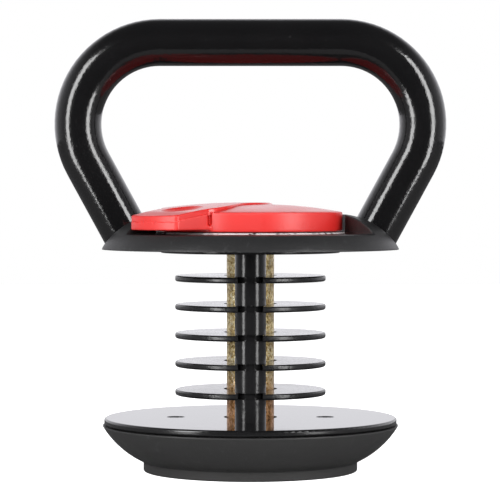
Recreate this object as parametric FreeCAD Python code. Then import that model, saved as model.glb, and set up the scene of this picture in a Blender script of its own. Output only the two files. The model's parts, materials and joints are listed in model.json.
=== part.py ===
import FreeCAD, Part
import math
import os

# Plate-loading kettlebell frame, millimetres, +Z up, front towards -Y.
# The origin is on the floor, on the axis of the central lock shaft.
# A fixed cage (handle, top plate, divider discs, guide post, weighted base) holds
# slotted weight plates in six bays. A dial under the handle turns the lock shaft.

# Handle: one bent steel tube
TUBE_R = 14.15
TUBE_WALL = 2.8
BAR_Z = 257.4
BEND_R = 49.2
BEND_X = 54.5
LEG_LEAN = 28.6              # degrees from vertical
LEG_CLEAR = 0.6              # clearance round the legs in the cover

# Central lock shaft and its bushes
SHAFT_R = 14.25
SHAFT_FLAT = 11.0            # half the width across the milled flats
SHAFT_BOTTOM = 14.0
SHAFT_TOP = 148.0
DRIVE_FLAT = 10.0            # half the width across the drive flats at the top
DRIVE_Z = 142.2
RUNNING_CLEAR = 0.05
BUSH_R = 17.4
SEAT_CLEAR = 0.1             # radial clearance of pieces that do not move apart

# Cage: six bays between the base plate and the top disc
DISC_R = 45.3
DISC_T = 3.5
DISC_HOLE_R = 16.05
DISC_COUNT = 5
BAY_GAP = 13.6
RIM_ROUND = 1.2
NOTCH_R = 7.3
TOP_DISC_R = 54.2
TOP_DISC_T = 4.0
TOP_PLATE_R = 80.0
TOP_PLATE_T = 5.0
BASE_PLATE_R = 88.0
BASE_PLATE_Z = 28.0
BASE_PLATE_T = 4.0

# Guide post in front of the shaft
POST_Y = -31.4
POST_R = 9.2
NECK_R = 7.0
NECK_EXTRA = 0.2
POST_TAP_DEPTH = 20.0

# Moulded top cover
COVER_Z = 133.1
COVER_WALL = 2.6
COVER_FLOOR_TOP = 142.5
COVER_HUB_HOLE_R = 22.0
DUST_RING = (48.7, 51.4, 144.3)   # inner and outer radius and top of the ring inside the dial
DUST_LEDGE = (50.0, 56.6, 143.6)  # and of the low ledge under the dial's edge
EAR_R = 57.5                 # ear wall round the dial
WELL_FRONT = 11.0            # degrees of wall before it flares, towards the front
WELL_BACK = 20.0             # and towards the back
COVER_PROFILE = [(89.0, 134.2), (82.4, 143.0), (73.5, 149.5), (65.0, 152.6), (50.0, 155.2)]
COVER_LIP_R = 89.4
EAR_SCREW = (72.4, 29.0)

# Dial
DIAL_R = 55.4
DIAL_Z = 144.1
DIAL_WALL = 2.8
DIAL_CEILING = 151.0
DOME = [(0.0, 161.2), (30.0, 160.4), (52.0, 158.2), (68.0, 155.9), (84.0, 153.0)]
BODY_DOME = [(0.0, 160.2), (25.0, 159.5), (45.0, 157.3), (56.0, 155.4), (84.0, 150.8)]
CAP_T = 4.0
LEVER_Z = 145.2
TIP_ROUND = 2.5
CAP_ROUND = 0.9
HUB_R = 20.5
HUB_Z = 142.4
HUB_FLOOR_TOP = 152.0
BOLT_WELL_R = 7.5             # well for the top bolt, under the cap
STOP_PIN_Y = 45.0
STOP_PIN_R = 2.5
STOP_TURN = 90.0
RIB_T = 2.4
CAP_SCREWS = [(-33.0, 19.0), (2.0, 36.0), (-36.0, -22.0)]
RECESS_PLACE = (-42.5, -40.0)
RECESS_BALL_R = 29.0
RECESS_LOW_Z = 154.5
SLIT = (-24.7, -22.7, 147.8)  # left and right side of the slit beside the lever, and its foot

# Weighted base
WEB_Z = 3.0
WEB_T = 3.0
FOOT_INNER_R = 58.4
FOOT_OUTER_R = 64.4
FOOT_H = 5.6
SHELL_RIM_Z = 27.6
PLATE_SCREW_X = 45.0
RECESS_R = 5.4
RECESS_DEPTH = 2.6
SHELL_SCREW_R = 45.0
POCKET_R = 23.0
BUSH_FLANGE_Z = 15.6
BUSH_SEAT_Z = 17.6

PITCH = BAY_GAP + DISC_T
BASE_TOP = BASE_PLATE_Z + BASE_PLATE_T
TOP_DISC_Z = BASE_TOP + DISC_COUNT * PITCH + BAY_GAP
TOP_PLATE_Z = TOP_DISC_Z + TOP_DISC_T
TOP_PLATE_TOP = TOP_PLATE_Z + TOP_PLATE_T
BIG = 400.0

V = FreeCAD.Vector
AXIS = V(0, 0, 1)


# ---- helpers -------------------------------------------------------------

def cylinder(radius, z0, z1, x=0.0, y=0.0):
    return Part.makeCylinder(radius, z1 - z0, V(x, y, z0))


def ring(outer, inner, z0, z1, x=0.0, y=0.0):
    return cylinder(outer, z0, z1, x, y).cut(cylinder(inner, z0 - 1, z1 + 1, x, y))


def box(low, high):
    size = [b - a for a, b in zip(low, high)]
    return Part.makeBox(*size, V(*low))


def hexagon(across, z0, z1, x=0.0, y=0.0):
    """Hexagonal prism, measured across its flats."""
    radius = across / math.sqrt(3)
    corners = [V(x + radius * math.cos(math.radians(60 * i)),
                 y + radius * math.sin(math.radians(60 * i)), z0) for i in range(7)]
    return Part.Face(Part.makePolygon(corners)).extrude(V(0, 0, z1 - z0))


def in_section(points):
    """Points of the XZ half plane from (radius, z) pairs."""
    return [V(r, 0, z) for r, z in points]


def line(a, b):
    return Part.LineSegment(a, b).toShape()


def arc(a, b, c):
    return Part.Arc(a, b, c).toShape()


def spline(points):
    curve = Part.BSplineCurve()
    curve.interpolate(points)
    return curve.toShape()


def turned(edges):
    """Solid of revolution about the shaft axis from a closed set of edges."""
    return Part.Face(Part.Wire(edges)).revolve(V(0, 0, 0), AXIS, 360)


def prism(edges, height):
    return Part.Face(Part.Wire(edges)).extrude(V(0, 0, height))


def round_rims(shape, radius, rim_radius):
    """Fillets every circular edge of one radius about the shaft axis."""
    rims = [e for e in shape.Edges
            if isinstance(e.Curve, Part.Circle)
            and abs(e.Curve.Radius - rim_radius) < 0.01
            and math.hypot(e.Curve.Center.x, e.Curve.Center.y) < 0.01]
    return shape.makeFillet(radius, rims)


def polar(radius, degrees):
    return radius * math.cos(math.radians(degrees)), radius * math.sin(math.radians(degrees))


def disc_bottom(number):
    """Underside of a divider disc, numbered from the top."""
    return TOP_DISC_Z - number * PITCH


def fused(shapes):
    result = shapes[0]
    for shape in shapes[1:]:
        result = result.fuse(shape)
    return result.removeSplitter()


# ---- fasteners -----------------------------------------------------------

def hex_bolt(radius, across, head, shank, z_seat, up, x=0.0, y=0.0):
    """Bolt with its seat at z_seat; the shank points up or down."""
    if up:
        body = hexagon(across, z_seat - head, z_seat, x, y)
        stem = cylinder(radius, z_seat, z_seat + shank, x, y)
    else:
        body = hexagon(across, z_seat, z_seat + head, x, y)
        stem = cylinder(radius, z_seat - shank, z_seat, x, y)
    return body.fuse(stem)


def socket_screw(radius, head_r, head, shank, z_seat, x, y, key, up=False):
    """Low cap screw with a hexagon socket; the shank points down unless up."""
    if up:
        screw = cylinder(head_r, z_seat - head, z_seat, x, y)
        screw = screw.fuse(cylinder(radius, z_seat, z_seat + shank, x, y))
        return screw.cut(hexagon(key, z_seat - head - 1, z_seat - 0.4 * head, x, y))
    screw = cylinder(head_r, z_seat, z_seat + head, x, y)
    screw = screw.fuse(cylinder(radius, z_seat - shank, z_seat, x, y))
    return screw.cut(hexagon(key, z_seat + 0.4 * head, z_seat + head + 1, x, y))


def countersunk_blank(radius, head_r, face_z, shank, x, y, up):
    """Countersunk head flush with face_z, on its shank, with no socket."""
    way = V(0, 0, 1 if up else -1)
    base = V(x, y, face_z)
    cone = Part.makeCone(head_r, radius, head_r - radius, base, way)
    return cone.fuse(Part.makeCylinder(radius, shank, base, way))


def countersunk(radius, head_r, face_z, shank, x, y, up):
    way = 1 if up else -1
    floor = face_z + way * 0.55 * (head_r - radius)
    low, high = sorted((face_z - way, floor))
    socket = hexagon(0.8 * head_r, low, high, x, y)
    return countersunk_blank(radius, head_r, face_z, shank, x, y, up).cut(socket)


# ---- handle --------------------------------------------------------------

def leg_points(side):
    """Bar end, middle and end of the bend, and a point low on the leg."""
    turn = 90 + LEG_LEAN
    centre_z = BAR_Z - BEND_R

    def on_bend(degrees):
        x, z = polar(BEND_R, 90 - degrees)
        return V(side * (BEND_X + x), 0, centre_z + z)

    end = on_bend(turn)
    drop = end.z - (COVER_Z - 20)
    low = V(end.x - side * drop * math.tan(math.radians(LEG_LEAN)), 0, end.z - drop)
    return on_bend(0), on_bend(turn / 2), end, low


def handle_path():
    bar_l, mid_l, end_l, low_l = leg_points(-1)
    bar_r, mid_r, end_r, low_r = leg_points(1)
    return Part.Wire([line(low_l, end_l), arc(end_l, mid_l, bar_l), line(bar_l, bar_r),
                      arc(bar_r, mid_r, end_r), line(end_r, low_r)])


def swept_handle(radius):
    path = handle_path()
    start = leg_points(-1)[3]
    lean = math.radians(LEG_LEAN)
    circle = Part.Circle(start, V(-math.sin(lean), 0, math.cos(lean)), radius)
    tube = path.makePipeShell([Part.Wire(circle.toShape())], True, True)
    return tube.cut(box((-BIG, -BIG, 0), (BIG, BIG, TOP_PLATE_Z)))


def handle_tube():
    return swept_handle(TUBE_R).cut(swept_handle(TUBE_R - TUBE_WALL))


def leg_rod(side, radius, z0):
    """Straight rod along a leg, above z0."""
    _, _, end, low = leg_points(side)
    rod = Part.makeCylinder(radius, (end - low).Length, low, end - low)
    return rod.cut(box((-BIG, -BIG, 0), (BIG, BIG, z0)))


# ---- cage ----------------------------------------------------------------

def top_plate():
    plate = cylinder(TOP_PLATE_R, TOP_PLATE_Z, TOP_PLATE_TOP)
    plate = plate.cut(cylinder(BUSH_R + SEAT_CLEAR, TOP_PLATE_Z - 1, TOP_PLATE_TOP + 1))
    plate = plate.cut(cylinder(STOP_PIN_R, TOP_PLATE_Z, TOP_PLATE_TOP + 1, 0, STOP_PIN_Y))
    plate = plate.cut(post_upper_screw_hole())
    for side in (-1, 1):
        plate = plate.cut(leg_rod(side, TUBE_R, TOP_PLATE_Z - 1))
        for y in (-EAR_SCREW[1], EAR_SCREW[1]):
            hole = countersunk_blank(2.0, 4.0, TOP_PLATE_Z, 9.5, side * EAR_SCREW[0], y, True)
            plate = plate.cut(hole)
    return plate


def post_upper_screw_hole():
    hole = cylinder(4.2, TOP_DISC_Z - 1, TOP_PLATE_TOP + 1, 0, POST_Y)
    return hole.fuse(Part.makeCone(4.0, 8.3, 4.3, V(0, POST_Y, TOP_PLATE_TOP - 4.2)))


def post_upper_screw():
    return countersunk(4.0, 8.0, TOP_PLATE_TOP, 24.0, 0, POST_Y, up=False)


def post_lower_screw():
    return hex_bolt(4.0, 13.0, 5.3, 20.0, BASE_PLATE_Z, True, 0, POST_Y)


def top_disc():
    disc = cylinder(TOP_DISC_R, TOP_DISC_Z, TOP_PLATE_Z)
    disc = round_rims(disc, 1.0, TOP_DISC_R)
    disc = disc.cut(cylinder(BUSH_R + SEAT_CLEAR, TOP_DISC_Z - 1, TOP_PLATE_Z + 1))
    return disc.cut(cylinder(4.2, TOP_DISC_Z - 1, TOP_PLATE_Z + 1, 0, POST_Y))


def divider_disc(number):
    z0 = disc_bottom(number)
    z1 = z0 + DISC_T
    disc = round_rims(cylinder(DISC_R, z0, z1), RIM_ROUND, DISC_R)
    notch = cylinder(NOTCH_R, z0 - 1, z1 + 1, 0, POST_Y)
    notch = notch.fuse(box((-NOTCH_R, -DISC_R - 5, z0 - 1), (NOTCH_R, POST_Y, z1 + 1)))
    return disc.cut(notch).cut(cylinder(DISC_HOLE_R, z0 - 1, z1 + 1))


def guide_post():
    post = cylinder(POST_R, BASE_TOP, TOP_DISC_Z, 0, POST_Y)
    for number in range(1, DISC_COUNT + 1):
        z0 = disc_bottom(number)
        post = post.cut(ring(POST_R + 1, NECK_R, z0, z0 + DISC_T + NECK_EXTRA, 0, POST_Y))
    post = post.cut(cylinder(4.0, BASE_TOP - 1, BASE_TOP + POST_TAP_DEPTH, 0, POST_Y))
    return post.cut(cylinder(4.0, TOP_DISC_Z - POST_TAP_DEPTH, TOP_DISC_Z + 1, 0, POST_Y))


def flanged_bush(sleeve_z0, sleeve_z1, flange_z0, flange_z1, flange_r):
    bush = cylinder(BUSH_R, sleeve_z0, sleeve_z1).fuse(cylinder(flange_r, flange_z0, flange_z1))
    low = min(sleeve_z0, flange_z0)
    high = max(sleeve_z1, flange_z1)
    return bush.cut(cylinder(SHAFT_R + RUNNING_CLEAR, low - 1, high + 1)).removeSplitter()


def upper_bush():
    return flanged_bush(TOP_DISC_Z + 0.3, TOP_PLATE_TOP, TOP_PLATE_TOP, TOP_PLATE_TOP + 2.0, 21.0)


def lower_bush():
    return flanged_bush(BUSH_SEAT_Z, BASE_PLATE_Z - 0.6, BUSH_FLANGE_Z, BUSH_SEAT_Z, 21.5)


def stop_pin():
    pin = cylinder(STOP_PIN_R, TOP_PLATE_Z, DIAL_CEILING - 3.4, 0, STOP_PIN_Y)
    top = [e for e in pin.Edges if e.BoundBox.ZMin > DIAL_CEILING - 4]
    return pin.makeChamfer(0.5, top)


# ---- top cover -----------------------------------------------------------

def cover_dome(inset):
    """Solid under the cover's outer skin, or under its inner skin."""
    skin = in_section([(r - 0.8 * inset, z - 0.75 * inset) for r, z in COVER_PROFILE])
    foot = V(COVER_LIP_R - inset, 0, COVER_Z)
    lip = V(skin[0].x, 0, max(skin[0].z, COVER_Z + 0.2))
    skin[0] = lip
    peak = V(0, 0, skin[-1].z)
    floor = V(0, 0, COVER_Z)
    return turned([line(floor, foot), line(foot, lip), spline(skin), line(skin[-1], peak),
                   line(peak, floor)])


def dial_well(offset, z0):
    """Space between the ears: round beside the dial, flared wide to the front."""
    wall = EAR_R + offset

    def side_edges(side):
        front = [V(side * x, y, z0) for x, y in (polar(wall, -WELL_FRONT), (62.6 + offset, -26),
                                                 (75.0 + offset, -41))]
        back = [V(side * x, y, z0) for x, y in (polar(wall, WELL_BACK), (61.8 + offset, 30),
                                                (73.4 + offset, 44))]
        front_far = V(front[2].x, -BIG / 2, z0)
        back_far = V(back[2].x, BIG / 2, z0)
        edges = [line(front_far, front[2]), arc(front[2], front[1], front[0]),
                 arc(front[0], V(side * wall, 0, z0), back[0]),
                 arc(back[0], back[1], back[2]), line(back[2], back_far)]
        return edges, front_far, back_far

    right, right_front, right_back = side_edges(1)
    left, left_front, left_back = side_edges(-1)
    ends = [line(right_front, left_front), line(right_back, left_back)]
    return prism(Part.__sortEdges__(right + left + ends), BIG / 2)


def ear_screw(x, y):
    return countersunk(2.0, 4.0, TOP_PLATE_Z, 9.5, x, y, up=True)


def ear_corners():
    return [(side * EAR_SCREW[0], y) for side in (-1, 1) for y in (-EAR_SCREW[1], EAR_SCREW[1])]


def top_cover():
    outer = cover_dome(0.0).cut(dial_well(0.0, COVER_FLOOR_TOP))
    hollow = cover_dome(COVER_WALL).cut(dial_well(COVER_WALL, TOP_PLATE_TOP))
    cover = outer.cut(hollow)
    for x, y in ear_corners():
        boss = cylinder(4.2, TOP_PLATE_TOP, COVER_FLOOR_TOP + 8, x, y).common(outer)
        cover = cover.fuse(boss)
    for inner_r, outer_r, top in (DUST_RING, DUST_LEDGE):
        cover = cover.fuse(ring(outer_r, inner_r, COVER_FLOOR_TOP - 0.5, top))
    for x, y in ear_corners():
        cover = cover.cut(cylinder(2.0, TOP_PLATE_TOP - 1, TOP_PLATE_Z + 9.5, x, y))
    cover = cover.cut(cylinder(COVER_HUB_HOLE_R, COVER_Z - 1, COVER_FLOOR_TOP + 1))
    cover = cover.cut(cylinder(STOP_PIN_R + 0.5, COVER_Z, COVER_FLOOR_TOP + 1, 0, STOP_PIN_Y))
    for side in (-1, 1):
        cover = cover.cut(leg_rod(side, TUBE_R + LEG_CLEAR, TOP_PLATE_Z - 0.5))
    return cover.removeSplitter()


def cover_screws():
    return Part.makeCompound([ear_screw(x, y) for x, y in ear_corners()])


# ---- dial ----------------------------------------------------------------

def under_dome(drop, profile=DOME):
    """Solid below the dial's crown or another profile, lowered by drop."""
    crown = in_section([(r, z - drop) for r, z in profile])
    rim = V(profile[-1][0], 0, COVER_Z)
    return turned([spline(crown), line(crown[-1], rim), line(rim, V(0, 0, COVER_Z)),
                   line(V(0, 0, COVER_Z), crown[0])])


def lever_plan(z):
    """Outline of the finger lever at the front left, from the rim inwards."""
    tip_left = V(-70.2, -39.4, z)
    tip_mid = V(-60.6, -54.6, z)
    tip_right = V(-42.2, -66.6, z)
    root_left = V(-52.6, -14.0, z)
    root_right = V(-22.6, -50.4, z)
    return Part.Wire([line(root_left, tip_left), arc(tip_left, tip_mid, tip_right),
                      line(tip_right, root_right), line(root_right, V(0, 0, z)),
                      line(V(0, 0, z), root_left)])


def lever_block(z0, z1, inset=0.0):
    face = Part.Face(lever_plan(z0))
    if inset:
        face = face.makeOffset2D(-inset)
    return face.extrude(V(0, 0, z1 - z0))


def round_tip(block):
    """Rounds the two upright corners at the lever's tip."""
    uprights = [e for e in block.Edges
                if e.BoundBox.ZLength > 5 and math.hypot(*e.valueAt(e.FirstParameter)[:2]) > 75]
    return block.makeFillet(TIP_ROUND, uprights)


def lever_solid():
    return round_tip(lever_block(LEVER_Z, DOME[0][1]))


def crown_edges(shape, drop):
    """Edges of a shape where its sides meet the crown."""
    crown = [f for f in under_dome(drop).Faces if f.BoundBox.ZMax > DOME[0][1] - drop - 0.5]
    found = []
    for edge in shape.Edges:
        points = [edge.valueAt(edge.FirstParameter + t * (edge.LastParameter - edge.FirstParameter))
                  for t in (0.0, 0.5, 1.0)]
        gaps = [min(f.distToShape(Part.Vertex(p))[0] for f in crown) for p in points]
        if max(gaps) < 0.05 and edge.Length > 0.5:
            found.append(edge)
    return found


def cap_plan(z, inset):
    """Outline of the raised cap: the lever and the back-left of the crown."""
    r = DIAL_R - 1.6 - inset
    start = V(*polar(r, 68), z)
    left = V(*polar(r, 196), z)
    back = V(*polar(r, 132), z)
    tip_left = V(-70.1 + inset, -39.4 + inset, z)
    tip_mid = V(-60.5 + inset, -54.5 + inset, z)
    tip_right = V(-42.3 + inset, -66.4 + inset, z)
    slit = V(-24.2 - inset, -50.0 + inset, z)
    sweep = [slit, V(-16.7 - inset, -44.6, z), V(-9.5 - inset, -32.5, z),
             V(-3.5 - inset, -19.0, z), V(7.0 - inset, -7.5, z), V(12.5 - inset, 12.0, z), start]
    return Part.Wire([arc(start, back, left), line(left, tip_left),
                      arc(tip_left, tip_mid, tip_right), line(tip_right, slit), spline(sweep)])


def cap_block(inset=0.0):
    return round_tip(Part.Face(cap_plan(DIAL_Z, inset)).extrude(V(0, 0, 30)))


def finger_recess():
    return Part.makeSphere(RECESS_BALL_R, V(*RECESS_PLACE, RECESS_LOW_Z + RECESS_BALL_R))


def drive_socket(clear):
    """The shaft's double-flat top end, as a solid."""
    end = cylinder(SHAFT_R + clear, HUB_Z - 1, SHAFT_TOP)
    half = DRIVE_FLAT + clear
    return end.common(box((-BIG, -half, HUB_Z - 1), (BIG, half, SHAFT_TOP)))


def dial_rib(degrees):
    rib = box((HUB_R - 1, -RIB_T / 2, DIAL_Z + 0.6), (DIAL_R - 1, RIB_T / 2, DIAL_CEILING + 1))
    return rib.rotate(V(0, 0, 0), AXIS, degrees)


def rib_angles():
    """Two ribs meet the stop pin at the ends of the turn; the others stiffen the dial."""
    lead = math.degrees(math.asin((STOP_PIN_R + RIB_T / 2 + 0.4) / STOP_PIN_Y))
    stops = [90 + lead, 90 - STOP_TURN - lead]
    return stops + [138, 182, 226, 270, 314]


def dial_body():
    rim = cylinder(DIAL_R, DIAL_Z, DOME[0][1])
    solid = fused([rim, lever_solid()]).common(under_dome(0.0, BODY_DOME))
    solid = solid.cut(cap_block().cut(under_dome(CAP_T)))
    cavity = cylinder(DIAL_R - DIAL_WALL, DIAL_Z - 1, DIAL_CEILING)
    lever_hollow = lever_block(LEVER_Z - 1, DIAL_CEILING - 0.5, DIAL_WALL)
    lever_hollow = lever_hollow.cut(cylinder(DIAL_R, DIAL_Z - 2, DIAL_CEILING))
    solid = solid.cut(cavity).cut(lever_hollow)
    hub = cylinder(HUB_R, HUB_Z, DIAL_CEILING + 1)
    ribs = [dial_rib(a) for a in rib_angles()]
    solid = fused([solid, hub] + ribs)
    solid = solid.cut(drive_socket(RUNNING_CLEAR))
    solid = solid.cut(cylinder(4.3, SHAFT_TOP - 1, HUB_FLOOR_TOP + 1))
    solid = solid.cut(cylinder(BOLT_WELL_R, HUB_FLOOR_TOP, DOME[0][1]))
    for x, y in CAP_SCREWS:
        solid = solid.cut(cylinder(1.7, DIAL_Z, DOME[0][1], x, y))
    left, right, foot = SLIT
    return solid.cut(box((left, -DIAL_R, foot), (right, -DIAL_R + 7.1, DOME[0][1])))


def dial_cap():
    cap = cap_block(0.1).common(under_dome(0.0)).cut(under_dome(CAP_T))
    cap = cap.makeFillet(CAP_ROUND, crown_edges(cap, 0.0))
    cap = cap.cut(finger_recess())
    for x, y in CAP_SCREWS:
        cap = cap.cut(cylinder(1.5, DIAL_Z, 157.0, x, y))
    return cap


def dial_screws():
    return Part.makeCompound([socket_screw(1.5, 3.0, 1.6, 156.8 - DIAL_CEILING, DIAL_CEILING,
                                           x, y, 2.0, up=True) for x, y in CAP_SCREWS])


def top_bolt():
    return socket_screw(4.0, 6.5, 3.0, 22.0, HUB_FLOOR_TOP + 1.6, 0, 0, 5.0)


def top_washer():
    return ring(BOLT_WELL_R - 0.3, 4.3, HUB_FLOOR_TOP, HUB_FLOOR_TOP + 1.6)


# ---- lock shaft ----------------------------------------------------------

def lock_shaft():
    shaft = cylinder(SHAFT_R, SHAFT_BOTTOM, SHAFT_TOP)
    for bay in range(DISC_COUNT + 1):
        z0 = BASE_TOP + bay * PITCH + 0.3
        z1 = z0 + BAY_GAP - 0.6
        for side in (-1, 1):
            low, high = sorted((side * SHAFT_FLAT, side * (SHAFT_R + 1)))
            shaft = shaft.cut(box((-SHAFT_R, low, z0), (SHAFT_R, high, z1)))
    shank = cylinder(SHAFT_R, DRIVE_Z, SHAFT_TOP).cut(drive_socket(0.0))
    shaft = shaft.cut(shank)
    for z0, z1 in ((SHAFT_BOTTOM - 1, SHAFT_BOTTOM + 22), (SHAFT_TOP - 22, SHAFT_TOP + 1)):
        shaft = shaft.cut(cylinder(4.0, z0, z1))
    return shaft


def bottom_bolt():
    return hex_bolt(4.0, 13.0, 5.3, 20.0, SHAFT_BOTTOM - 2.0, True)


def bottom_washer():
    return ring(19.0, 4.3, SHAFT_BOTTOM - 2.0, SHAFT_BOTTOM)


def thrust_washer():
    return ring(20.5, SHAFT_R + 0.3, SHAFT_BOTTOM, BUSH_FLANGE_Z - 0.3)


# ---- weighted base -------------------------------------------------------

def base_plate():
    plate = round_rims(cylinder(BASE_PLATE_R, BASE_PLATE_Z, BASE_TOP), 1.4, BASE_PLATE_R)
    plate = plate.cut(cylinder(DISC_HOLE_R, BASE_PLATE_Z - 1, BASE_TOP + 1))
    plate = plate.cut(cylinder(4.2, BASE_PLATE_Z - 1, BASE_TOP + 1, 0, POST_Y))
    for x in (-PLATE_SCREW_X, PLATE_SCREW_X):
        plate = plate.cut(cylinder(RECESS_R, BASE_TOP - RECESS_DEPTH, BASE_TOP + 1, x))
        plate = plate.cut(cylinder(3.0, BASE_PLATE_Z - 1, BASE_TOP, x))
    return plate


def base_plate_screws():
    return Part.makeCompound([socket_screw(3.0, 4.9, 2.0, 13.0, BASE_TOP - RECESS_DEPTH,
                                           x, 0, 4.0) for x in (-PLATE_SCREW_X, PLATE_SCREW_X)])


def shell_screw_places():
    return [polar(SHELL_SCREW_R, 45 + 90 * i) for i in range(4)]


def base_weight():
    top = BASE_PLATE_Z
    web = WEB_Z + WEB_T
    low, mid, rim = in_section([(63.6, 9.6), (76.5, 18.2), (84.2, 27.0)])
    corners = in_section([(0, web), (54.6, web), (54.6, 9.6)])
    high = in_section([(84.2, top), (0, top)])
    weight = turned([line(corners[0], corners[1]), line(corners[1], corners[2]),
                     line(corners[2], low), arc(low, mid, rim), line(rim, high[0]),
                     line(high[0], high[1]), line(high[1], corners[0])])
    weight = weight.cut(cylinder(POCKET_R, web - 1, BUSH_SEAT_Z))
    weight = weight.cut(cylinder(BUSH_R + SEAT_CLEAR, web - 1, top + 1))
    weight = weight.cut(cylinder(8.6, top - 6.0, top + 1, 0, POST_Y))
    for x in (-PLATE_SCREW_X, PLATE_SCREW_X):
        weight = weight.cut(cylinder(3.0, top - 13, top + 1, x))
    for x, y in shell_screw_places():
        weight = weight.cut(cylinder(2.5, web - 1, web + 12, x, y))
    return weight


def base_shell():
    web = WEB_Z + WEB_T
    step = FOOT_INNER_R - 0.2
    outer_low, outer_mid, outer_rim = in_section([(65.4, 6.1), (79.2, 15.3), (88.8, 26.9)])
    inner_low, inner_mid, inner_rim = in_section([(64.0, 8.9), (77.2, 17.5), (85.5, SHELL_RIM_Z)])
    under = in_section([(0, WEB_Z), (step, WEB_Z), (step, FOOT_H), (65.0, FOOT_H)])
    edge = V(88.8, 0, SHELL_RIM_Z)
    inside = in_section([(55.2, 8.9), (55.2, web), (0, web)])
    shell = turned([line(under[0], under[1]), line(under[1], under[2]), line(under[2], under[3]),
                    line(under[3], outer_low), arc(outer_low, outer_mid, outer_rim),
                    line(outer_rim, edge), line(edge, inner_rim),
                    arc(inner_rim, inner_mid, inner_low), line(inner_low, inside[0]),
                    line(inside[0], inside[1]), line(inside[1], inside[2]),
                    line(inside[2], under[0])])
    for x, y in shell_screw_places():
        shell = shell.cut(cylinder(2.7, WEB_Z - 1, web + 1, x, y))
    return shell


def shell_screws():
    return Part.makeCompound([socket_screw(2.5, 4.6, 2.2, 13.0, WEB_Z, x, y, 3.0, up=True)
                              for x, y in shell_screw_places()])


def foot_ring():
    foot = ring(FOOT_OUTER_R, FOOT_INNER_R, 0.0, FOOT_H)
    edges = [e for e in foot.Edges if isinstance(e.Curve, Part.Circle) and e.BoundBox.ZMax < 0.1]
    return foot.makeFillet(0.8, edges)


# ---- every piece ---------------------------------------------------------

def all_pieces():
    pieces = {
        "handle_tube": handle_tube(),
        "top_plate": top_plate(),
        "top_disc": top_disc(),
        "top_cover": top_cover(),
        "cover_screws": cover_screws(),
        "upper_bush": upper_bush(),
        "stop_pin": stop_pin(),
        "guide_post": guide_post(),
        "post_upper_screw": post_upper_screw(),
        "post_lower_screw": post_lower_screw(),
        "base_plate": base_plate(),
        "base_plate_screws": base_plate_screws(),
        "base_weight": base_weight(),
        "base_shell": base_shell(),
        "shell_screws": shell_screws(),
        "foot_ring": foot_ring(),
        "lower_bush": lower_bush(),
        "lock_shaft": lock_shaft(),
        "dial_body": dial_body(),
        "dial_cap": dial_cap(),
        "dial_screws": dial_screws(),
        "top_bolt": top_bolt(),
        "top_washer": top_washer(),
        "bottom_bolt": bottom_bolt(),
        "bottom_washer": bottom_washer(),
        "thrust_washer": thrust_washer(),
    }
    for number in range(1, DISC_COUNT + 1):
        pieces[f"divider_disc_{number}"] = divider_disc(number)
    return pieces


os.makedirs("parts", exist_ok=True)
for name, shape in all_pieces().items():
    shape.exportStep(f"parts/{name}.step")
    extent = shape.BoundBox
    print(f"{name:20s} solids {len(shape.Solids):2d}  valid {shape.isValid()}  "
          f"cm3 {shape.Volume / 1000:7.2f}  "
          f"z {extent.ZMin:6.1f} {extent.ZMax:6.1f}  x {extent.XMin:6.1f} {extent.XMax:6.1f}")
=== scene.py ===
import json
import math

import bpy
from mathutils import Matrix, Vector


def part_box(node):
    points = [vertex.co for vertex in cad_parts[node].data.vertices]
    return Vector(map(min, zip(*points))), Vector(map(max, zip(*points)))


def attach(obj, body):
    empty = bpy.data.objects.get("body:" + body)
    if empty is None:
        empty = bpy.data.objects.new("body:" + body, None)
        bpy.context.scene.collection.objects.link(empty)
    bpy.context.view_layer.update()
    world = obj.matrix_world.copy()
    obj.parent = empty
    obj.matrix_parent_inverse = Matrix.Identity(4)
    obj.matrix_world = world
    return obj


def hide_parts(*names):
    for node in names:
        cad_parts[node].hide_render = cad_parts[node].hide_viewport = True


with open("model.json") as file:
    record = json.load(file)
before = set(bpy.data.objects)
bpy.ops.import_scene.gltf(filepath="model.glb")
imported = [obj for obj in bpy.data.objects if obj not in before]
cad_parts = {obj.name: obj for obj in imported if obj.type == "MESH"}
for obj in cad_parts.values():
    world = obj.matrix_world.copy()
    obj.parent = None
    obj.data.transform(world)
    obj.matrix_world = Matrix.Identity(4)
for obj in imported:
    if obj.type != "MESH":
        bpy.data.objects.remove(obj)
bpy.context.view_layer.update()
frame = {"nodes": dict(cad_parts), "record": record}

MM = 0.001

# ---- heights and radii on the object ----------------------------------------
COVER_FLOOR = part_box("top_cover")[0][2] + 9.4 * MM    # the level the dial runs over
# Painted highlight: the band of the cover's ledge under the dial, which the cover moulding paints
# pale as a bright line.
HIGHLIGHT_LEDGE = (COVER_FLOOR + 0.05 * MM, COVER_FLOOR + 1.3 * MM, 57.2 * MM)  # low, high, radius
CROWN_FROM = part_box("dial_body")[1][2] - 4.2 * MM     # hands polish the dial above this
CROWN_BLEND = 0.5 * MM
BASE_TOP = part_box("base_plate")[1][2]
REDDISH_TO, REDDISH_FROM = BASE_TOP + 12 * MM, BASE_TOP + 30 * MM
RIM_DEPTH = 0.1 * MM         # a plate's rim starts this far below its top face
DISC_COUNT = 5

# ---- camera -----------------------------------------------------------------
# A long lens a little higher than the dial, looking almost level along +Y.
CAMERA_DISTANCE = 1.478
CAMERA_HEIGHT = 0.1662
CAMERA_SIDE = -0.00025
CAMERA_PITCH = math.radians(1.30)
CAMERA_LENS = 176.8          # millimetres, as is the sensor
CAMERA_SENSOR = 36.0
CAMERA_CLIP = 0.05

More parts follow.
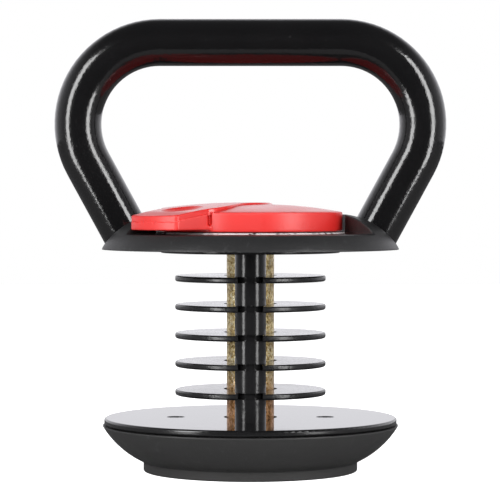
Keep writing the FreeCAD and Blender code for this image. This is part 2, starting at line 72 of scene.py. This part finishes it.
# ---- light and floor --------------------------------------------------------
BACKDROP_LIGHT = 1.16        # what the gloss surfaces see behind the object
BACKDROP_TINT = (0.96, 0.955, 1.0)
SIDE_LIGHT = 0.22
FRONT_LIGHT = 0.012
FLOOR_FRONT, FLOOR_BACK, FLOOR_SIDE = -0.34, 3.0, 1.6
FLOOR_PAPER = (0.80, 0.80, 0.80)
FLOOR_IN_GLOSS = (0.20, 0.20, 0.20)   # the paper as the gloss surfaces see it
STRIP_AZIMUTH = 51.0         # degrees either side of the camera
STRIP_DISTANCE = 1.7
STRIP_SIZE = (0.50, 1.9)
STRIP_HEIGHT = 0.45
STRIP_POWER = 29.0
STRIP_AIM = Vector((0, 0, 0.15))
FILL_PLACE = (0.0, -1.5, 0.75)
FILL_SIZE = 1.1
FILL_POWER = 26.0
FILL_AIM = Vector((0, 0, 0.12))

# ---- colours and gloss ------------------------------------------------------
DUST = (0.09, 0.088, 0.085)
RUBBED_PLASTIC = (0.16, 0.16, 0.165)
# Pale grey painted on that ledge band as a highlight line.
LEDGE_HIGHLIGHT_GREY = (0.62, 0.60, 0.60)
RED_DARK, RED_LIGHT = (0.50, 0.011, 0.009), (0.58, 0.018, 0.015)
RED_SCUFFED = (0.95, 0.30, 0.26)
ZINC_BROWN, ZINC_GOLD, ZINC_PALE = (0.11, 0.055, 0.018), (0.78, 0.58, 0.22), (1.0, 0.93, 0.66)
ZINC_STAIN = (0.20, 0.11, 0.055)
ZINC_REDDISH = (0.66, 0.36, 0.27)
STEEL_DARK, STEEL_LIGHT = (0.30, 0.31, 0.33), (0.52, 0.53, 0.55)
IRON_DARK, IRON_LIGHT = (0.035, 0.034, 0.033), (0.085, 0.080, 0.076)
RUBBER_BLACK, RUBBER_BLOOM = (0.016, 0.016, 0.016), (0.030, 0.029, 0.029)
NYLON_DARK, NYLON_LIGHT = (0.012, 0.012, 0.012), (0.022, 0.022, 0.022)
NO_COAT = 0.0
RIM_DULLING = 0.16           # added to the roughness of a plate's rim


# ---- node helpers -----------------------------------------------------------

class Nodes:
    """The nodes of a material or a world, with short ways to add more of them."""

    def __init__(self, tree, coordinates):
        self.tree = tree
        self.where = self.node("ShaderNodeTexCoord").outputs[coordinates]

    def node(self, kind, **values):
        made = self.tree.nodes.new(kind)
        for key, value in values.items():
            setattr(made, key, value)
        return made

    def link(self, source, target):
        self.tree.links.new(source, target)

    def put(self, value, socket):
        """Feed a socket from another socket, or give it a value of its own."""
        if isinstance(value, bpy.types.NodeSocket):
            self.link(value, socket)
        else:
            socket.default_value = value if isinstance(value, float) else (*value, 1)

    def axes(self):
        """X, Y and Z of the point that is being shaded."""
        made = self.node("ShaderNodeSeparateXYZ")
        self.link(self.where, made.inputs["Vector"])
        return tuple(made.outputs[axis] for axis in "XYZ")

    def noise(self, grain, detail=2.0, roughness=0.5, stretch=(1, 1, 1)):
        """Noise whose features are about grain metres across."""
        place = self.node("ShaderNodeMapping")
        place.inputs["Scale"].default_value = stretch
        self.link(self.where, place.inputs["Vector"])
        made = self.node("ShaderNodeTexNoise")
        made.inputs["Scale"].default_value = 1.0 / grain
        made.inputs["Detail"].default_value = detail
        made.inputs["Roughness"].default_value = roughness
        self.link(place.outputs["Vector"], made.inputs["Vector"])
        return made.outputs["Fac"]

    def spots(self, grain):
        """Distance to scattered points about grain metres apart."""
        made = self.node("ShaderNodeTexVoronoi")
        made.inputs["Scale"].default_value = 1.0 / grain
        self.link(self.where, made.inputs["Vector"])
        return made.outputs["Distance"]

    def ramp(self, source, *stops):
        """Colours or grey levels at positions along source."""
        made = self.node("ShaderNodeValToRGB")
        levels = made.color_ramp.elements
        while len(levels) < len(stops):
            levels.new(0.5)
        for level, (place, value) in zip(levels, stops):
            level.position = place
            level.color = (value, value, value, 1) if isinstance(value, float) else (*value, 1)
        self.link(source, made.inputs["Fac"])
        return made.outputs["Color"]

    def span(self, source, low, high, to_low, to_high):
        """source from low..high mapped to to_low..to_high."""
        made = self.node("ShaderNodeMapRange")
        for key, value in zip(("From Min", "From Max", "To Min", "To Max"),
                              (low, high, to_low, to_high)):
            made.inputs[key].default_value = value
        self.link(source, made.inputs["Value"])
        return made.outputs["Result"]

    def mix(self, factor, first, second, blend="MIX"):
        made = self.node("ShaderNodeMix", data_type="RGBA", blend_type=blend)
        for key, value in (("Factor", factor), ("A", first), ("B", second)):
            self.put(value, [s for s in made.inputs if s.name == key and s.enabled][0])
        return [s for s in made.outputs if s.enabled][0]

    def math(self, operation, first, second):
        made = self.node("ShaderNodeMath", operation=operation)
        for socket, value in zip(made.inputs, (first, second)):
            self.put(value, socket)
        return made.outputs["Value"]

    def bump(self, height, depth, under=None):
        """Relief of depth metres, over an optional coarser relief."""
        made = self.node("ShaderNodeBump")
        made.inputs["Strength"].default_value = 1.0
        made.inputs["Distance"].default_value = depth
        self.link(height, made.inputs["Height"])
        if under is not None:
            self.link(under, made.inputs["Normal"])
        return made.outputs["Normal"]


class Shader(Nodes):
    """A material under construction, with its Principled shader as main."""

    def __init__(self, name):
        self.material = bpy.data.materials.new(name)
        self.material.use_nodes = True
        super().__init__(self.material.node_tree, "Object")
        self.main = self.tree.nodes["Principled BSDF"]

    def set(self, **values):
        """Values that are the same all over the surface; _ stands for a space."""
        for key, value in values.items():
            self.main.inputs[key.replace("_", " ")].default_value = value

    def wear(self, colour, roughness, normal):
        """The finished material, with its varying colour, roughness and relief."""
        self.link(colour, self.main.inputs["Base Color"])
        self.link(roughness, self.main.inputs["Roughness"])
        self.link(normal, self.main.inputs["Normal"])
        return self.material


# ---- materials --------------------------------------------------------------

def gloss_powder(name, black, peel, rough_range, ior, coat=0.3, rim_below=None):
    """Gloss black powder coat: orange peel, a little dust and an uneven gloss.

    Below the height rim_below the coat is duller, as it is round a plate's rim."""
    s = Shader(name)
    s.set(IOR=ior, Coat_Weight=coat, Coat_Roughness=0.06)
    patch = s.noise(30 * MM, 3.0)
    speck = s.span(s.spots(3.6 * MM), 0.05, 0.16, 1.0, 0.0)
    dust = s.math("MULTIPLY", speck, s.span(s.noise(12 * MM), 0.62, 0.72, 0.0, 0.5))
    tint = s.mix(patch, (black, black, black * 1.06), (black * 1.5, black * 1.45, black * 1.55))
    colour = s.mix(dust, tint, DUST)
    rough = s.math("ADD", s.span(patch, 0.3, 0.7, *rough_range), s.math("MULTIPLY", dust, 0.3))
    if rim_below is not None:
        height = s.axes()[2]
        rim = s.math("LESS_THAN", height, rim_below)
        rough = s.math("ADD", rough, s.math("MULTIPLY", rim, RIM_DULLING))
    coarse = s.bump(s.noise(2.4 * MM), peel)
    fine = s.bump(s.noise(0.9 * MM), peel * 0.22, under=coarse)
    return s.wear(colour, rough, fine)


def moulded_plastic(name, grey, tint, roughness, highlight_ledge=None):
    """Matt moulded plastic with a fine spark-eroded grain and faint handling marks.

    The last argument gives the bottom height, top height and outer radius of a ledge band painted
    pale as a highlight line."""
    s = Shader(name)
    s.set(IOR=1.46)
    cloud = s.noise(45 * MM, 3.0)
    rub = s.span(s.noise(4 * MM, 4.0, 0.7, (1, 1, 0.25)), 0.60, 0.78, 0.0, 1.0)
    dark = tuple(grey * channel for channel in tint)
    light = tuple(grey * 1.22 * channel for channel in tint)
    colour = s.mix(s.math("MULTIPLY", rub, 0.16), s.mix(cloud, dark, light), RUBBED_PLASTIC)
    # Painted highlight: a pale dashed line painted on the ledge band under the dial, standing in
    # for a bright edge line.
    if highlight_ledge:
        low, high, radius = highlight_ledge
        x, y, z = s.axes()
        spread = s.math("ADD", s.math("MULTIPLY", x, x), s.math("MULTIPLY", y, y))
        level = s.math("MULTIPLY", s.math("GREATER_THAN", z, low), s.math("LESS_THAN", z, high))
        on_highlight_ledge = s.math("MULTIPLY", level, s.math("LESS_THAN", spread, radius ** 2))
        highlight_dashes = s.span(s.noise(4.5 * MM), 0.36, 0.48, 0.0, 0.8)
        colour = s.mix(s.math("MULTIPLY", on_highlight_ledge, highlight_dashes), colour, LEDGE_HIGHLIGHT_GREY)
    rough = s.math("SUBTRACT", s.span(cloud, 0.3, 0.7, roughness - 0.04, roughness + 0.05),
                   s.math("MULTIPLY", rub, 0.08))
    grain = s.bump(s.noise(1.0 * MM, 3.0, 0.65), 0.12 * MM)
    flow = s.bump(s.noise(16 * MM, 1.0), 0.12 * MM, under=grain)
    return s.wear(colour, rough, flow)


def red_plastic(name, crown_from):
    """Satin red moulding: fine grain, colour clouds, and a crown that hands have polished."""
    s = Shader(name)
    s.set(IOR=1.5, Coat_Weight=0.35, Coat_Roughness=0.36)
    cloud = s.noise(28 * MM)
    scuff = s.span(s.noise(2.8 * MM, 5.0, 0.75, (0.35, 1, 1)), 0.64, 0.80, 0.0, 1.0)
    colour = s.mix(s.math("MULTIPLY", scuff, 0.12), s.mix(cloud, RED_DARK, RED_LIGHT),
                   RED_SCUFFED)
    height = s.axes()[2]
    polish = s.span(height, crown_from - CROWN_BLEND, crown_from + CROWN_BLEND, 0.0, 0.22)
    rough = s.math("SUBTRACT", s.span(cloud, 0.3, 0.7, 0.40, 0.50),
                   s.math("MULTIPLY", scuff, 0.08))
    rough = s.math("SUBTRACT", rough, polish)
    grain = s.bump(s.noise(0.6 * MM, 2.0, 0.6), 0.03 * MM)
    return s.wear(colour, rough, s.bump(s.noise(12 * MM, 1.0), 0.10 * MM, under=grain))


def yellow_zinc(name):
    """Yellow-passivated zinc plate: fine bright crystals, brown stains, redder low down."""
    s = Shader(name)
    s.set(Metallic=1.0)
    crystal = s.noise(1.9 * MM, 4.0, 0.8)
    stain = s.noise(5 * MM, 3.0, 0.6)
    gold = s.ramp(crystal, (0.37, ZINC_BROWN), (0.49, ZINC_GOLD), (0.59, ZINC_PALE))
    height = s.axes()[2]
    low_down = s.span(height, REDDISH_TO, REDDISH_FROM, 0.85, 0.0)
    gold = s.mix(low_down, gold, ZINC_REDDISH, "MULTIPLY")
    colour = s.mix(s.span(stain, 0.45, 0.70, 0.0, 0.55), gold, ZINC_STAIN)
    rough = s.span(crystal, 0.35, 0.65, 0.46, 0.24)
    return s.wear(colour, rough, s.bump(crystal, 0.35 * MM))


def plain_finish(name, grain, dark, light, rough_range, depth, **constants):
    """One noise that varies colour, roughness and relief together."""
    s = Shader(name)
    s.set(**constants)
    cloud = s.noise(*grain)
    return s.wear(s.mix(cloud, dark, light), s.span(cloud, 0.3, 0.7, *rough_range),
                  s.bump(cloud, depth))


def plated_steel(name):
    """Clear zinc plate on screws and washers, dulled by handling."""
    return plain_finish(name, (0.8 * MM, 3.0, 0.6), STEEL_DARK, STEEL_LIGHT, (0.28, 0.44),
                        0.03 * MM, Metallic=1.0)


def cast_iron(name):
    """Sand-cast iron under a thin primer."""
    return plain_finish(name, (1.6 * MM, 5.0, 0.65), IRON_DARK, IRON_LIGHT, (0.6, 0.8),
                        0.4 * MM, Metallic=0.6)


def nylon(name):
    """Plain black nylon bush."""
    return plain_finish(name, (4 * MM,), NYLON_DARK, NYLON_LIGHT, (0.42, 0.55), 0.03 * MM,
                        IOR=1.5)


def rubber(name):
    """Matt black rubber with a dusty bloom over a finer relief."""
    s = Shader(name)
    s.set(IOR=1.45)
    bloom = s.noise(10 * MM, 4.0, 0.6)
    return s.wear(s.mix(bloom, RUBBER_BLACK, RUBBER_BLOOM), s.span(bloom, 0.3, 0.7, 0.62, 0.78),
                  s.bump(s.noise(0.9 * MM, 3.0), 0.08 * MM))


FINISHES = {
    "handle_paint": gloss_powder("handle_powder", black=0.0034, peel=0.13 * MM,
                                 rough_range=(0.11, 0.18), ior=1.5),
    "black_steel": gloss_powder("steel_powder", black=0.0065, peel=0.08 * MM,
                                rough_range=(0.15, 0.21), ior=1.40, coat=NO_COAT),
    "cover_plastic": moulded_plastic("cover_moulding", grey=0.0105, tint=(1.0, 1.0, 1.04),
                                     roughness=0.46, highlight_ledge=HIGHLIGHT_LEDGE),
    "shell_rubber": moulded_plastic("shell_moulding", grey=0.022, tint=(1.0, 0.99, 0.99),
                                    roughness=0.48),
    "foot_rubber": rubber("foot_rubber"),
    "red_plastic": red_plastic("red_moulding", CROWN_FROM),
    "yellow_zinc": yellow_zinc("yellow_zinc"),
    "zinc_screws": plated_steel("zinc_screws"),
    "cast_iron": cast_iron("cast_iron"),
    "bush_nylon": nylon("bush_nylon"),
}


def own_finishes():
    """The base plate and each divider disc have a powder coat of their own."""
    finishes = {"base_plate": gloss_powder("plate_powder", black=0.0045, peel=0.02 * MM,
                                           rough_range=(0.03, 0.07), ior=1.55, coat=NO_COAT,
                                           rim_below=BASE_TOP - RIM_DEPTH)}
    for number in range(1, DISC_COUNT + 1):
        name = f"divider_disc_{number}"
        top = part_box(name)[1][2]
        finishes[name] = gloss_powder(f"disc_powder_{number}", black=0.0050, peel=0.16 * MM,
                                      rough_range=(0.08, 0.15), ior=1.5, coat=NO_COAT,
                                      rim_below=top - RIM_DEPTH)
    return finishes


OWN_FINISH = own_finishes()


def dress_nodes():
    """Every CAD node gets its own finish or that of its material slot."""
    for part in frame["record"]["subparts"]:
        name = part["node"]
        node = frame["nodes"][name]
        node.data.materials.clear()
        node.data.materials.append(OWN_FINISH.get(name, FINISHES[part["material_slot"]]))


# ---- mouldings --------------------------------------------------------------

def rounded_copy(node, voxel, passes, keep):
    """A copy of a CAD node as one moulding whose edges are softly rounded.

    voxel is the remeshing size in metres, passes the number of smoothing steps, and keep the
    share of the faces that stays."""
    source = frame["nodes"][node]
    piece = bpy.data.objects.new(f"{node}_moulding", source.data.copy())
    bpy.context.scene.collection.objects.link(piece)
    remesh = piece.modifiers.new("remesh", "REMESH")
    remesh.mode = "VOXEL"
    remesh.voxel_size = voxel
    smooth = piece.modifiers.new("smooth", "SMOOTH")
    smooth.factor = 0.5
    smooth.iterations = passes
    thin = piece.modifiers.new("thin", "DECIMATE")
    thin.ratio = keep
    ready = piece.evaluated_get(bpy.context.evaluated_depsgraph_get())
    mesh = bpy.data.meshes.new_from_object(ready)
    piece.modifiers.clear()
    piece.data = mesh
    mesh.shade_smooth()
    return piece


def make_moulding(node, body, slot, voxel, passes, keep):
    """The rounded copy takes the place of its CAD node."""
    piece = rounded_copy(node, voxel, passes, keep)
    piece.data.materials.clear()
    piece.data.materials.append(FINISHES[slot])
    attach(piece, body)
    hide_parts(node)


# ---- studio -----------------------------------------------------------------

def make_camera():
    data = bpy.data.cameras.new("camera")
    data.lens = CAMERA_LENS
    data.sensor_width = CAMERA_SENSOR
    data.clip_start = CAMERA_CLIP
    camera = bpy.data.objects.new("camera", data)
    camera.location = (CAMERA_SIDE, -CAMERA_DISTANCE, CAMERA_HEIGHT)
    camera.rotation_euler = (math.pi / 2 - CAMERA_PITCH, 0, 0)
    bpy.context.scene.collection.objects.link(camera)
    bpy.context.scene.camera = camera


def make_floor():
    """White paper that the camera sees as pure white."""
    mesh = bpy.data.meshes.new("floor")
    mesh.from_pydata([(-FLOOR_SIDE, FLOOR_FRONT, 0), (FLOOR_SIDE, FLOOR_FRONT, 0),
                      (FLOOR_SIDE, FLOOR_BACK, 0), (-FLOOR_SIDE, FLOOR_BACK, 0)],
                     [], [(0, 1, 2, 3)])
    floor = bpy.data.objects.new("floor", mesh)
    bpy.context.scene.collection.objects.link(floor)
    s = Shader("floor_paper")
    s.set(Roughness=0.9, Emission_Color=(1, 1, 1, 1))
    rays = s.node("ShaderNodeLightPath").outputs
    s.link(rays["Is Camera Ray"], s.main.inputs["Emission Strength"])
    s.link(s.mix(rays["Is Glossy Ray"], FLOOR_PAPER, FLOOR_IN_GLOSS), s.main.inputs["Base Color"])
    mesh.materials.append(s.material)


def make_lamp(name, power, place, aim):
    """An area light at place that faces aim."""
    data = bpy.data.lights.new(name, "AREA")
    data.energy = power
    lamp = bpy.data.objects.new(name, data)
    lamp.location = place
    lamp.rotation_euler = (aim - lamp.location).to_track_quat("-Z", "Y").to_euler()
    bpy.context.scene.collection.objects.link(lamp)
    return lamp


def make_strip(side):
    """A tall soft light to one side of the camera."""
    turn = math.radians(STRIP_AZIMUTH)
    place = (side * STRIP_DISTANCE * math.sin(turn), -STRIP_DISTANCE * math.cos(turn),
             STRIP_HEIGHT)
    lamp = make_lamp(f"strip_{'left' if side < 0 else 'right'}", STRIP_POWER, place, STRIP_AIM)
    lamp.data.shape = "RECTANGLE"
    lamp.data.size, lamp.data.size_y = STRIP_SIZE


def make_fill():
    """A broad light over the camera that lights the colours but makes no highlight."""
    lamp = make_lamp("fill", FILL_POWER, FILL_PLACE, FILL_AIM)
    lamp.data.size = FILL_SIZE
    lamp.visible_glossy = False


def make_surroundings():
    """Dark behind the camera, grey at the sides, white behind the object."""
    world = bpy.data.worlds.new("studio")
    world.use_nodes = True
    n = Nodes(world.node_tree, "Generated")
    _, depth, height = n.axes()
    round_about = n.ramp(n.span(depth, -1.0, 1.0, 0.0, 1.0),
                         (0.14, FRONT_LIGHT / BACKDROP_LIGHT),
                         (0.27, SIDE_LIGHT / BACKDROP_LIGHT), (0.64, 0.55), (0.84, 1.0))
    overhead = n.ramp(n.span(height, -1.0, 1.0, 0.0, 1.0), (0.68, 1.0), (0.90, 0.10))
    tinted = n.node("ShaderNodeVectorMath", operation="MULTIPLY")
    tinted.inputs[1].default_value = BACKDROP_TINT
    n.link(n.mix(1.0, round_about, overhead, "MULTIPLY"), tinted.inputs[0])
    surroundings = n.tree.nodes["Background"]
    surroundings.inputs["Strength"].default_value = BACKDROP_LIGHT
    n.link(tinted.outputs["Vector"], surroundings.inputs["Color"])
    backdrop = n.node("ShaderNodeBackground")
    backdrop.inputs["Color"].default_value = (1, 1, 1, 1)
    choose = n.node("ShaderNodeMixShader")
    n.link(n.node("ShaderNodeLightPath").outputs["Is Camera Ray"], choose.inputs["Fac"])
    n.link(surroundings.outputs["Background"], choose.inputs[1])
    n.link(backdrop.outputs["Background"], choose.inputs[2])
    n.link(choose.outputs["Shader"], n.tree.nodes["World Output"].inputs["Surface"])
    bpy.context.scene.world = world


# ---- scene ------------------------------------------------------------------

make_camera()
make_floor()
make_surroundings()
for side in (-1, 1):
    make_strip(side)
make_fill()
dress_nodes()
make_moulding("dial_body", "lock_rotor", "red_plastic", voxel=0.5 * MM, passes=8, keep=0.45)
make_moulding("top_cover", "cage", "cover_plastic", voxel=0.55 * MM, passes=6, keep=0.4)
bpy.context.scene.view_settings.view_transform = "Standard"
